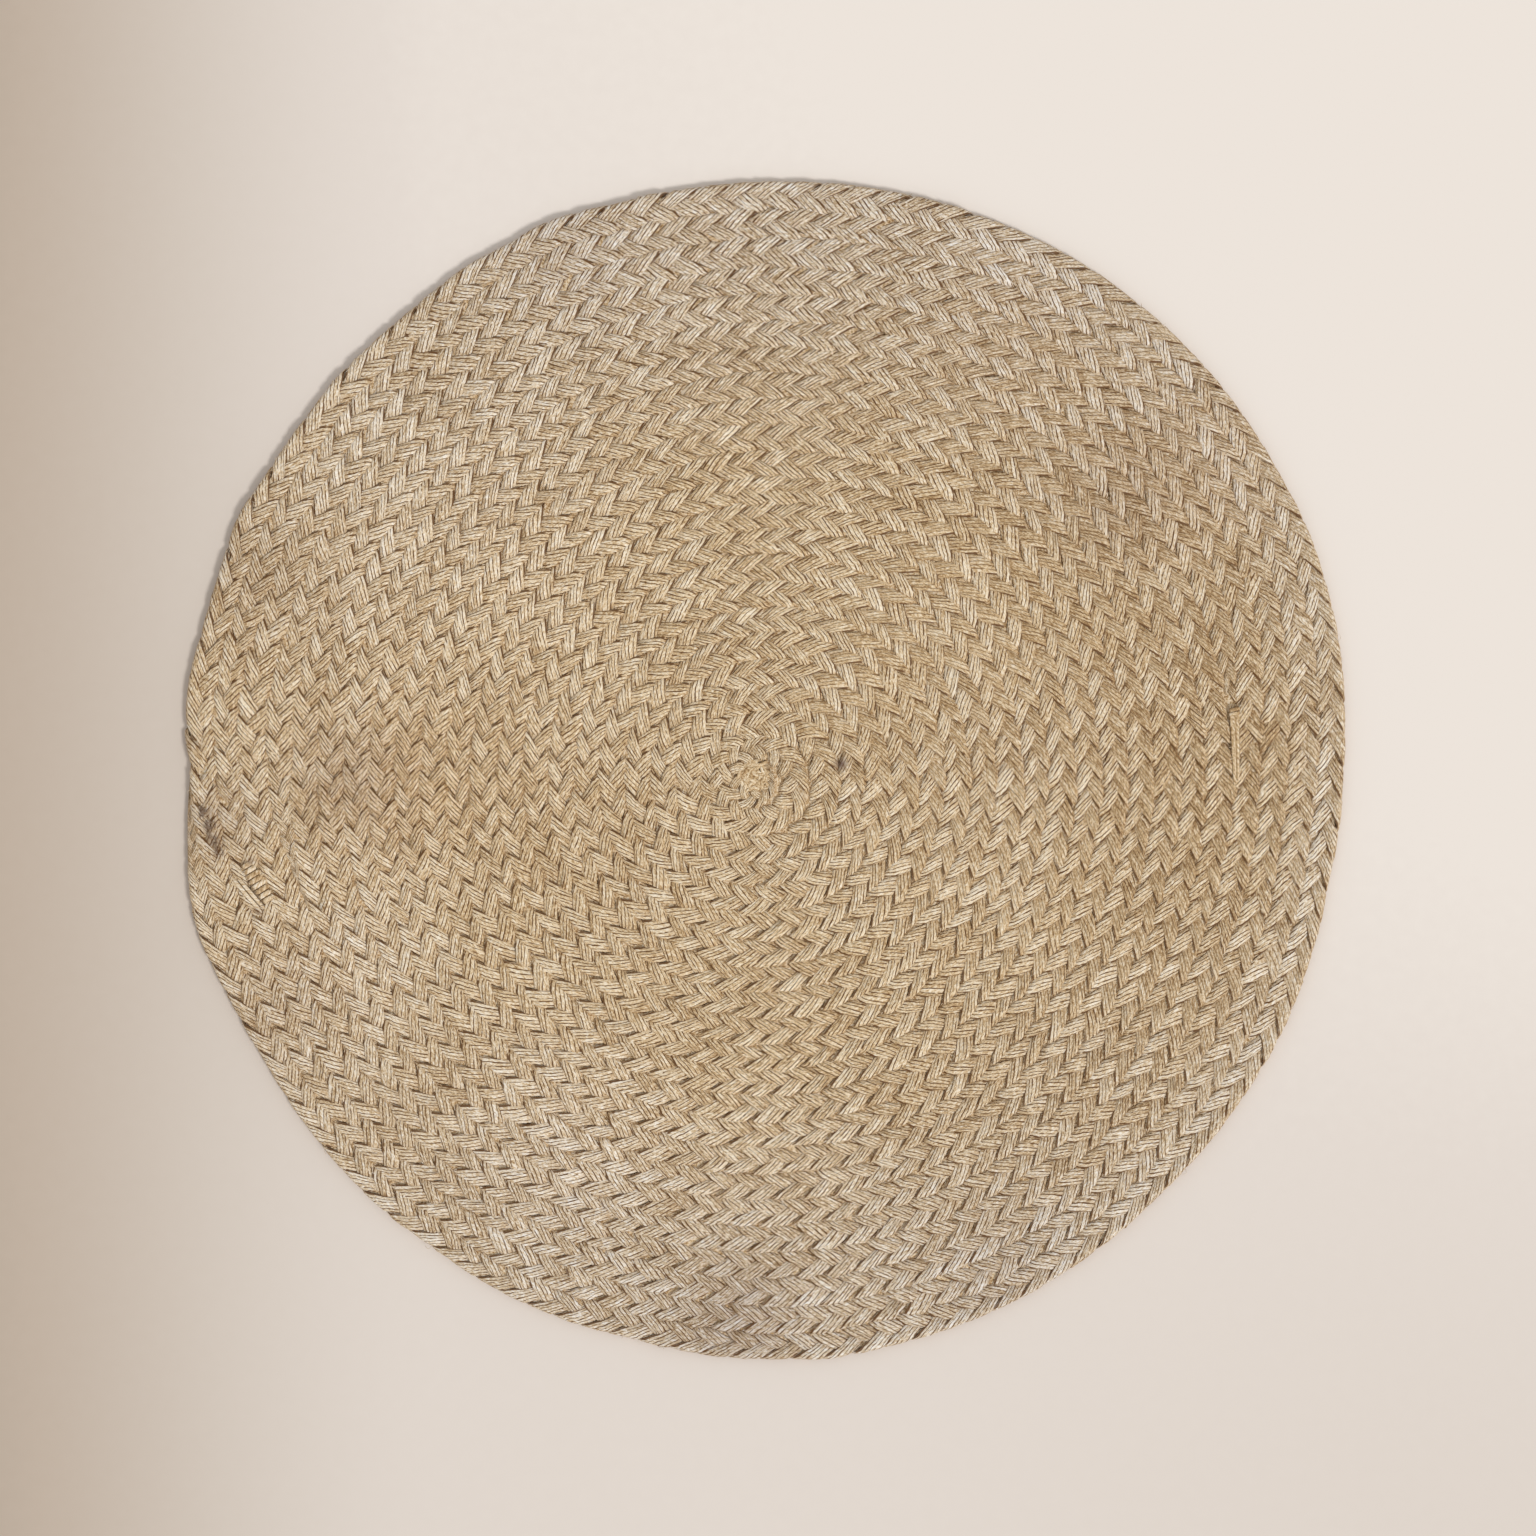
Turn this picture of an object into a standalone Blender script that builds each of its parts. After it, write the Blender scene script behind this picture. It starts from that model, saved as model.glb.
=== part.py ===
"""Round jute rug lying flat: one flat braid, coiled and sewn edge to edge.

A first length of braid winds outward clockwise from the middle. A second length is
sewn on after it and makes the four outer turns. The sewn turns show as raised ribs.
Angles are in degrees, anticlockwise from +X, seen from above. Turns are counted
along the first length. +Z is up and the underside lies on Z = 0.
"""

import math

import bpy
import numpy as np

MM = 0.001  # metres in a millimetre

# The two lengths of braid
FIRST_START_TURN = 0.4  # where the first length begins, in turns from the coil's middle
FIRST_END_TURN = 18.9  # where its tail ends, at 0 degrees
OUTER_START_DEG = 198.75  # where the second length begins
OUTER_TURNS = 4.0625  # turns of the second length; its two tapered ends lie side by side
TAPER_DEG = 22.5  # a tail narrows to nothing over this angle

# The start of the coil lies to the left of the middle of the turns round it
START_SHIFT_MM = (-11.2, 2.3)
START_SHIFT_TURNS = 3.5  # the turns grow even over this many

# Heights above the floor
CREST_MM = 9.8  # top of a rib
GROOVE_MM = 6.2  # bottom of the sewn seam between two ribs
RIM_MM = 4.8  # widest level of the outer edge
UNDERCUT_MM = 1.4  # level below which the edge draws in to the floor
CREST_WAVE_MM = 0.35  # how unevenly the ribs lie

# How far the edge draws in below its widest level
UNDERCUT_INSET_MM = 0.9
SOLE_INSET_MM = 2.8

# Where a rib's flat top starts and ends, as shares of the rib's width
RIB_TOP_SHARES = {"inner_top": 0.27, "outer_top": 0.73}
RIB_ROWS = (*RIB_TOP_SHARES, "seam")

# Steps round one turn; the short inner turns take every second or fourth
STEPS = 96
FOURTH_STEPS_UNTIL_TURN = 4.4
HALF_STEPS_UNTIL_TURN = 9.4

JUTE_COLOUR = (0.486, 0.366, 0.242, 1.0)
JUTE_ROUGHNESS = 0.9

# The coil is not a true circle: how wide one turn of the first length is, and how far
# the rug's edge is from the coil's middle, at each angle.
COIL_COLUMNS = ("angle_deg", "turn_width_mm", "edge_mm")
COIL_TABLE = (
    (0.0, 20.19, 446.6),
    (15.0, 20.19, 456.9),
    (30.0, 20.26, 461.8),
    (45.0, 20.42, 465.9),
    (60.0, 20.34, 467.0),
    (75.0, 20.11, 464.3),
    (90.0, 20.03, 460.7),
    (105.0, 19.92, 457.9),
    (120.0, 19.88, 454.8),
    (135.0, 19.88, 450.6),
    (150.0, 19.88, 449.2),
    (165.0, 19.84, 447.9),
    (180.0, 19.76, 443.8),
    (186.0, 19.80, 446.9),
    (192.0, 19.84, 451.2),
    (198.0, 19.84, 448.3),
    (204.0, 19.84, 444.2),
    (210.0, 19.84, 441.8),
    (225.0, 19.92, 442.9),
    (240.0, 20.00, 443.8),
    (255.0, 20.00, 443.9),
    (270.0, 20.03, 446.8),
    (285.0, 20.11, 447.2),
    (300.0, 20.19, 445.3),
    (315.0, 19.96, 442.3),
    (330.0, 19.96, 443.7),
    (345.0, 20.03, 443.4),
)

FIRST_END_STEP = round((FIRST_END_TURN - FIRST_START_TURN) * STEPS)
OUTER_END_STEP = round(OUTER_TURNS * STEPS)
TAPER_STEPS = round(TAPER_DEG / 360 * STEPS)
FIRST_START_SLOT = FIRST_END_STEP % STEPS
OUTER_START_SLOT = round(OUTER_START_DEG / 360 * STEPS)


def smooth(share):
    """An even S-shaped rise from 0 to 1."""
    share = min(max(share, 0.0), 1.0)
    return share * share * (3 - 2 * share)


def coil_size(column, angle):
    """The table's value at an angle, on a smooth closed curve through its rows."""
    rows = np.array(COIL_TABLE)
    turned = (rows[:, 0] - angle) % 360  # how far anticlockwise each row lies
    order = np.argsort(turned)
    near = order[[-2, -1, 0, 1]]  # two rows behind the angle and two ahead
    at = turned[near] - np.array((360, 360, 0, 0))
    values = rows[near, COIL_COLUMNS.index(column)]
    span = at[2] - at[1]
    share = -at[1] / span
    rise_in = (values[2] - values[0]) / (at[2] - at[0]) * span
    rise_out = (values[3] - values[1]) / (at[3] - at[1]) * span
    return (
        values[1] * (1 + 2 * share) * (1 - share) ** 2
        + values[2] * share**2 * (3 - 2 * share)
        + rise_in * share * (1 - share) ** 2
        - rise_out * share**2 * (1 - share)
    )


def slot_angle(slot):
    return (slot % STEPS) * 360 / STEPS


def first_slot(step):
    """The angular slot of a step along the first length, which runs clockwise."""
    return (FIRST_START_SLOT - step) % STEPS


def outer_slot(step):
    return (OUTER_START_SLOT - step) % STEPS


def first_turn(step):
    return FIRST_START_TURN + step / STEPS


def first_width(step):
    """The first length's width as a share of its full width: 0 at the end of its tail."""
    return smooth((FIRST_END_STEP - step) / TAPER_STEPS)


def outer_width(step):
    """The same for the second length, which starts and ends in a point."""
    return smooth(step / TAPER_STEPS) * smooth((OUTER_END_STEP - step) / TAPER_STEPS)


def first_seam_mm(step):
    """Radius of the first length's outer edge."""
    turn = first_turn(step)
    turn_width = coil_size("turn_width_mm", slot_angle(first_slot(step)))
    return turn_width * (turn - 1 + first_width(step))


def last_first_step(slot):
    """The last step of the first length at an angular slot."""
    return FIRST_END_STEP - (slot - first_slot(FIRST_END_STEP)) % STEPS


def outer_seam_mm(step):
    """Radius of the second length's outer edge, which shares the ring with its other turns."""
    slot = outer_slot(step)
    inside = first_seam_mm(last_first_step(slot))
    edge = coil_size("edge_mm", slot_angle(slot))
    stack = range(step % STEPS, OUTER_END_STEP + 1, STEPS)
    widths = [outer_width(other) for other in stack]
    filled = sum(widths[: step // STEPS + 1])
    return inside + (edge - inside) * filled / sum(widths)


def start_shift(turn):
    """How far the middle of the coil is moved aside for a point this many turns out."""
    share = 1 - smooth(turn / START_SHIFT_TURNS)
    return np.array(START_SHIFT_MM) * share


def on_plan(radius, slot, turn):
    angle = math.radians(slot_angle(slot))
    return radius * np.array((math.cos(angle), math.sin(angle))) + start_shift(turn)


def crest_mm(slot, turn, width):
    """Height of a rib's top, lower where the braid narrows to a tail."""
    angle = math.radians(slot_angle(slot))
    wave = math.sin(3 * angle + 1.3 * turn) * math.cos(angle - 0.7 * turn)
    full = CREST_MM + CREST_WAVE_MM * wave
    return GROOVE_MM + (full - GROOVE_MM) * math.sqrt(width)


class Surface:
    """Collects points and faces; each point has a name, and is made once."""

    def __init__(self):
        self.points = []
        self.numbers = {}
        self.faces = []

    def add_point(self, name, plan, height):
        self.numbers[name] = len(self.points)
        self.points.append((plan[0], plan[1], height))

    def same_point(self, name, other):
        self.numbers[name] = self.numbers[other]

    def plan(self, name):
        return np.array(self.points[self.numbers[name]][:2])

    def add_face(self, *names):
        """A face round these points, less any that have run together."""
        ring = []
        for number in (self.numbers[name] for name in names):
            if number not in ring:
                ring.append(number)
        if len(ring) > 2:
            self.faces.append(ring)


def step_size(length, step):
    """How many steps lie between one built section and the next."""
    if length == "outer" or first_turn(step) >= HALF_STEPS_UNTIL_TURN:
        return 1
    return 2 if first_turn(step) >= FOURTH_STEPS_UNTIL_TURN else 4


def sections(length):
    end = FIRST_END_STEP if length == "first" else OUTER_END_STEP
    steps = [0]
    while steps[-1] < end:
        steps.append(steps[-1] + step_size(length, steps[-1]))
    return steps


def inner_seam_name(length, step):
    """The name of the seam point that a section's inner side is sewn to."""
    if step < STEPS and length == "first":
        return "middle"
    if step < STEPS:
        length, step = "first", last_first_step(outer_slot(step))
    else:
        step -= STEPS
    return (length, step - step % step_size(length, step), "seam")


def add_section(surface, length, step):
    """The rib's top and outer seam at one section, run together at a pointed end."""
    if length == "first":
        slot, turn = first_slot(step), first_turn(step)
        radius, width = first_seam_mm(step), first_width(step)
    else:
        slot, turn = outer_slot(step), FIRST_END_TURN + step / STEPS
        radius, width = outer_seam_mm(step), outer_width(step)
    inner = inner_seam_name(length, step)
    seam = (length, step, "seam")
    at_edge = length == "outer" and step >= OUTER_END_STEP - STEPS
    if width == 0:
        surface.same_point(seam, inner)
    else:
        surface.add_point(seam, on_plan(radius, slot, turn), RIM_MM if at_edge else GROOVE_MM)
    for row, share in RIB_TOP_SHARES.items():
        if width == 0 or (length == "first" and step == 0):
            surface.same_point((length, step, row), seam)
        else:
            plan = surface.plan(inner) * (1 - share) + surface.plan(seam) * share
            surface.add_point((length, step, row), plan, crest_mm(slot, turn, width))


def add_rib(surface, length):
    """The top of one length of braid, from its start to the end of its tail."""
    steps = sections(length)
    for step in steps:
        add_section(surface, length, step)
    for step, after in zip(steps, steps[1:]):
        rows = [inner_seam_name(length, step), *((length, step, row) for row in RIB_ROWS)]
        rows_after = [inner_seam_name(length, after), *((length, after, row) for row in RIB_ROWS)]
        for i in range(len(RIB_ROWS)):
            surface.add_face(rows[i], rows_after[i], rows_after[i + 1], rows[i + 1])


def edge_name(slot):
    """The outermost seam point at an angular slot."""
    return ("outer", OUTER_END_STEP - (slot - outer_slot(OUTER_END_STEP)) % STEPS, "seam")


def add_edge_and_sole(surface):
    """The rounded side of the outermost turn and the flat underside."""
    for slot in range(STEPS):
        rim = surface.plan(edge_name(slot))
        outward = rim / np.linalg.norm(rim)
        surface.add_point(("undercut", slot), rim - outward * UNDERCUT_INSET_MM, UNDERCUT_MM)
        surface.add_point(("sole", slot), rim - outward * SOLE_INSET_MM, 0.0)
    surface.add_point("sole middle", (0.0, 0.0), 0.0)
    for slot in range(STEPS):
        after = (slot + 1) % STEPS
        surface.add_face(
            ("undercut", slot), ("undercut", after), edge_name(after), edge_name(slot)
        )
        surface.add_face(("sole", slot), ("sole", after), ("undercut", after), ("undercut", slot))
        surface.add_face("sole middle", ("sole", after), ("sole", slot))


def centred(points):
    """The points in metres, with the middle of their outline over the origin."""
    points = np.array(points)
    plan = points[:, :2]
    points[:, :2] -= (plan.min(axis=0) + plan.max(axis=0)) / 2
    return points * MM


def jute_material():
    material = bpy.data.materials.new("jute")
    material.use_nodes = True
    shader = material.node_tree.nodes["Principled BSDF"]
    shader.inputs["Base Color"].default_value = JUTE_COLOUR
    shader.inputs["Roughness"].default_value = JUTE_ROUGHNESS
    shader.inputs["Metallic"].default_value = 0.0
    return material


def braided_coil():
    """The rug: ribs of sewn braid on top, a rounded edge and a flat underside."""
    surface = Surface()
    surface.add_point("middle", start_shift(0.0), CREST_MM)
    add_rib(surface, "first")
    add_rib(surface, "outer")
    add_edge_and_sole(surface)
    mesh = bpy.data.meshes.new("braided_coil")
    mesh.from_pydata(centred(surface.points).tolist(), [], surface.faces)
    mesh.validate()
    for face in mesh.polygons:
        face.use_smooth = any(mesh.vertices[i].co.z > 0 for i in face.vertices)
    mesh.materials.append(jute_material())
    rug = bpy.data.objects.new("braided_coil", mesh)
    bpy.context.scene.collection.objects.link(rug)
    return rug


def main():
    for old in list(bpy.data.objects):
        bpy.data.objects.remove(old)
    braided_coil()


main()
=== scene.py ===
"""Looks of the round jute rug: its two lengths of three-strand braid, lobe by lobe.

Lengths are in millimetres until a mesh is made. Angles are in degrees, anticlockwise
from +X seen from above. Along a braid, s runs clockwise and outward from the middle,
x runs outward across the braid and z is up. The rug lies on Z = 0.
"""

import math

import bpy
import numpy as np
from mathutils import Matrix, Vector

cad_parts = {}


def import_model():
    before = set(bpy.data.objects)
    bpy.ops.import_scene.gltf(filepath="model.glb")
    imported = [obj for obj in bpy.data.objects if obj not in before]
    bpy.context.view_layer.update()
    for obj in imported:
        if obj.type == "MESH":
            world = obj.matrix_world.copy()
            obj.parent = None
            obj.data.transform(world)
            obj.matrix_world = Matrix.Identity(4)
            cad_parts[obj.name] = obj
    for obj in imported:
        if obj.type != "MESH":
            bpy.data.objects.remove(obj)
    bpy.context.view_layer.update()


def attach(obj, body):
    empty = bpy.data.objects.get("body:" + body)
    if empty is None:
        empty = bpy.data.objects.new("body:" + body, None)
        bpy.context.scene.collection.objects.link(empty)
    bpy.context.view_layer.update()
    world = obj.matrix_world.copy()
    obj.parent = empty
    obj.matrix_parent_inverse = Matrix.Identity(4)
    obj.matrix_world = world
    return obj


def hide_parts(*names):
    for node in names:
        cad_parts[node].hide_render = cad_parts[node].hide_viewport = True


MM = 0.001

# The coil, as in the part's source
FIRST_START_TURN = 0.4
FIRST_END_TURN = 18.9
OUTER_START_DEG = 198.75
OUTER_TURNS = 4.0625
TAPER_DEG = 22.5
START_SHIFT_MM = (-11.2, 2.3)
START_SHIFT_TURNS = 3.5
STEPS = 96
COIL_TABLE = (  # angle, width of a turn of the first length, distance of the rug's edge
    (0.0, 20.19, 446.6),
    (15.0, 20.19, 456.9),
    (30.0, 20.26, 461.8),
    (45.0, 20.42, 465.9),
    (60.0, 20.34, 467.0),
    (75.0, 20.11, 464.3),
    (90.0, 20.03, 460.7),
    (105.0, 19.92, 457.9),
    (120.0, 19.88, 454.8),
    (135.0, 19.88, 450.6),
    (150.0, 19.88, 449.2),
    (165.0, 19.84, 447.9),
    (180.0, 19.76, 443.8),
    (186.0, 19.80, 446.9),
    (192.0, 19.84, 451.2),
    (198.0, 19.84, 448.3),
    (204.0, 19.84, 444.2),
    (210.0, 19.84, 441.8),
    (225.0, 19.92, 442.9),
    (240.0, 20.00, 443.8),
    (255.0, 20.00, 443.9),
    (270.0, 20.03, 446.8),
    (285.0, 20.11, 447.2),
    (300.0, 20.19, 445.3),
    (315.0, 19.96, 442.3),
    (330.0, 19.96, 443.7),
    (345.0, 20.03, 443.4),
)
WIDTH_COLUMN = 1
EDGE_COLUMN = 2
JOGS = (  # angle, how far the edge stands out in mm, and half width in degrees
    (24.5, 1.2, 3.0),
    (111.0, 4.2, 4.5),
    (120.0, 2.4, 3.0),
    (136.0, 1.6, 3.0),
    (153.6, 4.0, 3.5),
    (171.5, 3.4, 4.5),
    (177.8, -2.8, 2.2),
    (195.5, 2.0, 3.0),
    (235.0, -1.8, 4.0),
    (257.0, -1.8, 3.5),
    (276.5, 2.4, 2.5),
    (350.0, -1.6, 2.5),
)
FIRST_END_STEP = round((FIRST_END_TURN - FIRST_START_TURN) * STEPS)
OUTER_END_STEP = round(OUTER_TURNS * STEPS)
TAPER_STEPS = round(TAPER_DEG / 360 * STEPS)
FIRST_START_SLOT = FIRST_END_STEP % STEPS
OUTER_START_SLOT = round(OUTER_START_DEG / 360 * STEPS)
KNOT_RADIUS = 8.0
SEAM_WANDER = (45.0, 0.5)  # spacing and size of the seams' small waves
STEP_LENGTH = 25.0  # of the second length's braid, about
RIM_FADE_STEPS = 8  # the waves fade before the rim over this many steps
FINE = 4  # table entries per step

# The braid
BRAID_WIDTH = 20.0
PERIOD = 68.0  # along the braid, from one lobe of a strand to its next on the same side
PACE_WIDTHS = (0.5, 1.05)  # shares of BRAID_WIDTH between which the period follows the width
PACE_BY_WIDTH = 0.75
PACE_WANDER = (90.0, 0.035)  # spacing, and size as a share of the pace
CENTRE_PACE = 1.1  # how much shorter the lobes are at the rug's centre
CENTRE_FADE = 32.0
STRAND_OFFSET_DEG = 120.0
STRIP_STEPS = 2.2  # the first length's end is a plain strip for this many steps
PATH_REACH = 7.8  # how far a strand's middle goes to each side
MID_HEIGHT = 5.5
LOWEST = 0.1
PATH_LIFT = 1.45
HALF_THICK = 2.2
LIP_THICK = 0.35  # at a lobe's side edges, in shares of HALF_THICK
SEAM_SQUEEZE = 1.16  # neighbouring turns press into one another
RIM_SQUEEZE = 1.05
RIM_SMOOTH = 0.85  # how far the lobes on the rug's rim are evened out
EMERGE_SHEAR = 1.0
EMERGE_HALF_DEG = 34.0
EDGE_HALF_DEG = 32.0
LOBE_TILT = (0.1, 0.3)  # how much higher a lobe is at the seam than at the braid's middle
SEAM_NARROW = (0.28, 0.08)  # how much narrower lobes get, on the inner half and on the outer one
MIDDLE_NARROW = (0.26, 0.2)
TIP_ROUND = 0.24
HEAD_SHIFT_DEG = 5.0  # lobes of the inner half come up earlier and lie over the outer ones
SIDE_NARROW = 0.06
SIDE_REACH = (0.99, 1.08)  # the outer half's lobes lie over the seam, in shares of PATH_REACH
HEAD_ROUND_DEG = (22.0, 15.0)  # a lobe's side yarns come up later and go down earlier
TIP_ROUND_DEG = (28.0, 20.0)
STATIONS = (-34, -22, -10, 2, 14, 28, 44, 60, 74, 88, 104, 124, 154, 186, 214)
YARN_COLUMNS = (-68, -48, -36, -24, -12, 0, 12, 24, 36, 48, 68)
YARN_GROOVE = 0.5
YARN_SPREAD = 60.0  # the column that a lobe's roundness is measured against
LEAN_WEIGHT = (75.0, 0.8)  # how the lean grows away from psi 90: span and power
TO_SEAM = (30.0, 55.0)  # psi over which a lobe narrows towards the seam
OFF_SEAM = (150.0, 40.0)
TO_MIDDLE = (34.0, 50.0)
TALLNESS = (0.02, 0.3)  # smallest share of the width, and the height's power of it
GROOVE_FADE = (50.0, 30.0)  # grooves between yarns get shallower from this psi, over this much
GROOVE_LEFT = 0.3
EDGE_THIN = 0.12  # a lobe is this much thinner at its sides, before TIP_ROUND
CROWN_POWER = 2.2
IS_CREST = np.isin(np.abs(YARN_COLUMNS), (0, 24, 48))  # middles of yarns
IS_LIP = np.abs(YARN_COLUMNS) == 68  # a lobe's side edges
STATION = np.array(STATIONS, float)[None, :, None]
COLUMN = np.array(YARN_COLUMNS, float)[None, None, :]

# How much the lobes differ, as standard deviations
LEAN_VARIES = 0.12
FAN_VARIES = 0.07
SWAY_VARIES = (1.6, 2.2)  # whole yarns sideways, and their bends
REACH_VARIES = 0.07
LIFT_VARIES = 0.10
BOW_VARIES = 0.07
GROOVE_VARIES = 0.4
CREST_VARIES = (0.14, 0.16)  # whole yarns up, and their bends
THICK_VARIES = 0.12
PHASE_VARIES = 2.2

# Tones that the mesh carries
# Painted light and shade: lobes are painted paler or darker by the way they face
FACING_LIGHT_TOWARDS_DEG = 15.0  # lobes that face left are painted paler, as if lit, and the others darker: the inner half's on the rug's right, and the outer half's on its left
FACING_LIGHT_LEFT = -0.24  # and the outer half's on its left
FACING_LIGHT_RIGHT = 0.64
FACING_LIGHT_FADE = (0.1, 0.8)
FACING_LIGHT_FROM_RADIUS = 100.0
FACING_LIGHT_VARIES = 0.3
WARM_FADE = (150.0, 250.0)
GREY_FADE = (200.0, 230.0)
GREY_ALL_ROUND = 0.15
GREY_RIGHT_EDGE = 0.35
EDGE_FADE = (385.0, 45.0)
LOBE_TONE = 0.25
YARN_TONE = 0.5
OUTLINE_SHADE_FADE = (6.6, 1.0)  # heights over which a lobe's side edge shows as a dark gap of painted shade
# Painted shade: darker and browner where a lobe comes out from under the next strand, towards the
# seams and at low points
DIVE_FADE = (-10.0, 34.0)  # psi over which a lobe comes out from under the next strand
SEAM_FADE = (74.0, 22.0)
SEAM_SHADE_STRENGTH = 0.8
SUNK_FADE = (8.4, 2.0)
ALONG_SCALE = 1.15
LOBE_SPACING = 7.31  # keeps the noise of neighbouring lobes apart

# Single yarns, fibres and the ground under the lobes
YARN_SIDES = 8
YARN_STATIONS = 9
YARN_LOWEST = 0.15
YARN_TONE_VARIES = 0.7
YARN_SPACING = 5.77
END_TAPER = 0.14
TAIL_STRIP = ((360.4, 52.0), (362.6, -15.0))
TAIL_STITCHES = (46.6, 43.4, 27.0, 22.5, 18.0, 13.5, 9.0)  # y of each; the first two are a bump
STITCH_ENDS = ((356.6, -0.6), (365.4, 1.4))
WRAPPED_END = ((-401.4, -71.3), (-383.0, -101.3))
WRAPS = 8
STRAIGHT_BAND = (  # start, end, heights and bend
    ((-411.5, -82.5), (-388.0, -110.0), (7.6, 10.0), 0.0),
    ((-408.4, -81.0), (-385.4, -107.5), (7.2, 9.7), 0.0),
    ((-414.5, -86.0), (-400.0, -103.0), (6.6, 9.2), 0.2),
)
DARK_FRAY = ((-436.0, -27.0), (-420.5, -66.0))  # the line that it follows
DARK_FIBRES = 46
DARK_ROW = ((-403.5, -76.0), (-387.5, -104.0))
DARK_ROW_STITCHES = 12
FIBRES = 320
THREAD_LOOPS = (  # x, y, size and where it starts
    (-30.0, 30.4, 1.7, 20.0),
    (-27.5, 31.0, 1.4, 160.0),
    (46.0, 21.0, 1.2, 90.0),
)
KNOT_YARNS = 54  # of the braid's matted start
KNOT_REACH = 12.5
KNOT_SHIFT = (3.0, 0.3)
GOLDEN_DEG = 137.5
GROUND_SLOTS = 192
GROUND_RINGS = 23
GROUND_INSET = 3.5
GROUND_HEIGHTS = (0.4, 5.6)  # of its underside and its top
ATLAS_WIDE = 12

# Marks on the face: x, y, size and strength
WORN = (  # paler and greyer
    (-137.0, -276.0, 75.0, 0.9),
    (-332.0, -154.0, 65.0, 0.9),
    (-283.0, 163.0, 60.0, 0.6),
    (-190.0, 190.0, 80.0, 0.9),
)
RICH = (  # browner
    (-285.0, -4.0, 75.0, 0.45),
    (-200.0, 10.0, 90.0, 0.2),
    (318.0, 235.0, 90.0, 0.4),
    (210.0, 330.0, 80.0, 0.25),
    (230.0, 60.0, 160.0, 0.15),
)
SHADED = (  # darker
    (-322.0, -7.0, 42.0, 0.9),
    (-425.0, -35.0, 34.0, 0.9),
    (278.0, 212.0, 55.0, 0.6),
    (-25.0, -425.0, 50.0, 1.0),
    (180.0, -390.0, 60.0, 0.45),
    (-150.0, 400.0, 50.0, 0.5),
    (-400.0, 150.0, 60.0, 0.45),
    (-390.0, -190.0, 50.0, 0.45),
    (200.0, 0.0, 90.0, 0.25),
)
STAINS = (
    (57.8, 5.0, 5.0, 1.0),
    (-429.5, -32.0, 4.5, 0.4),
    (-428.0, -43.0, 5.0, 0.4),
    (-426.0, -54.0, 5.5, 0.5),
    (-423.0, -65.0, 4.5, 0.4),
    (-397.0, -70.0, 3.0, 0.6),
    (-392.0, -110.0, 4.0, 0.6),
    (-446.0, 20.0, 9.0, 0.25),
)

# Looks that the material reads from the mesh, and those of the ground, which carries none and gets
# painted crevice shade all over
LOOKS = ("tone", "painted_facing_light", "crevice_shade", "warmth", "grey", "worn", "rich", "shaded", "stain")
GROUND_LOOKS = dict.fromkeys(LOOKS, 0.0) | {"crevice_shade": 0.8}

# Colours: sRGB from 0 to 255, and tints as linear factors
JUTE_RAMP = (
    (0.0, (146, 111, 70)),
    (0.35, (201, 170, 126)),
    (0.65, (230, 207, 171)),
    (1.0, (248, 235, 212)),
)
FLOOR_RAMP = (
    (0.0, (160, 145, 128)),
    (0.3, (194, 178, 162)),
    (0.6, (212, 200, 188)),
    (0.92, (229, 219, 210)),
    (1.0, (238, 229, 220)),
)
STAIN_COLOUR = (112, 88, 78)
# painted shade in the grooves between yarns and the gaps between lobes
GAP_SHADE_COLOUR = (104, 69, 35)
GREY_TINT = (0.97, 1.045, 1.24)
WORN_TINT = (1.07, 1.1, 1.17)
RICH_TINT = (0.95, 0.865, 0.78)
SHADED_TINT = (0.8, 0.78, 0.79)
# painted shade in crevices, by the seams and at low points
CREVICE_SHADE_TINT = (0.68, 0.54, 0.38)
CREVICE_SHADE_STRENGTH = 0.35

# Place on the jute's colour ramp, and how much each look moves it
RAMP_MIDDLE = 0.56
TONE_AMOUNT = 0.14
FACING_LIGHT_AMOUNT = 0.14
STREAK_AMOUNT = 2.2
YARN_AMOUNT = 0.5
FINE_AMOUNT = 1.3
PATCH_AMOUNT = 0.25
WARM_AMOUNT = -0.1

# Noises: scale, detail and roughness
PATCH_NOISE = (7.0, 3.0, 0.5)
FINE_NOISE = (650.0, 4.0, 0.6)
STREAK_NOISE = (1.0, 4.0, 0.6)
YARN_NOISE = (1.7, 1.0, 0.5)
UNEVEN_NOISE = (1.0, 2.0, 0.6)
THREAD_NOISE = (1.3, 1.0, 0.5)
DEEP_NOISE = (1.0, 1.0, 0.5)
FLOOR_NOISE = (90.0, 4.0, 0.5)

# How fast those noises change along a strand, for each millimetre
STREAK_ALONG = 0.22
YARN_ALONG = 0.03
UNEVEN_ALONG = 0.16
THREAD_ALONG = 0.2
DEEP_ALONG = 0.1

# Painted shade in the lines between yarns and the gaps between lobes: where each starts and is
# full
LINE_EDGE = (0.35, 0.43)  # distance from a yarn's middle
LINE_UNEVEN = 0.34
LINE_BREAKS = (0.24, 0.48)
GAP_EDGE = (0.3, 0.55)
GAP_BREAKS = (0.2, 0.5)
GAP_SHADE_STRENGTH = 0.95
FAINT_BELOW = (-0.6, -0.25)  # painted facing light of the lobes painted darker, whose lines are fainter
FAINT_LINES = 0.6
FIBRE_TWIST = 0.12
FIBRE_FINE = 4.5
BUMP_STRENGTH = 0.8
BUMP_DISTANCE = 0.0006  # in metres
BUMP_STREAK = 0.8
BUMP_LINE = -0.5
BUMP_FINE = 0.4
JUTE_ROUGHNESS = 0.6
JUTE_SPECULAR = 0.25
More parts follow.
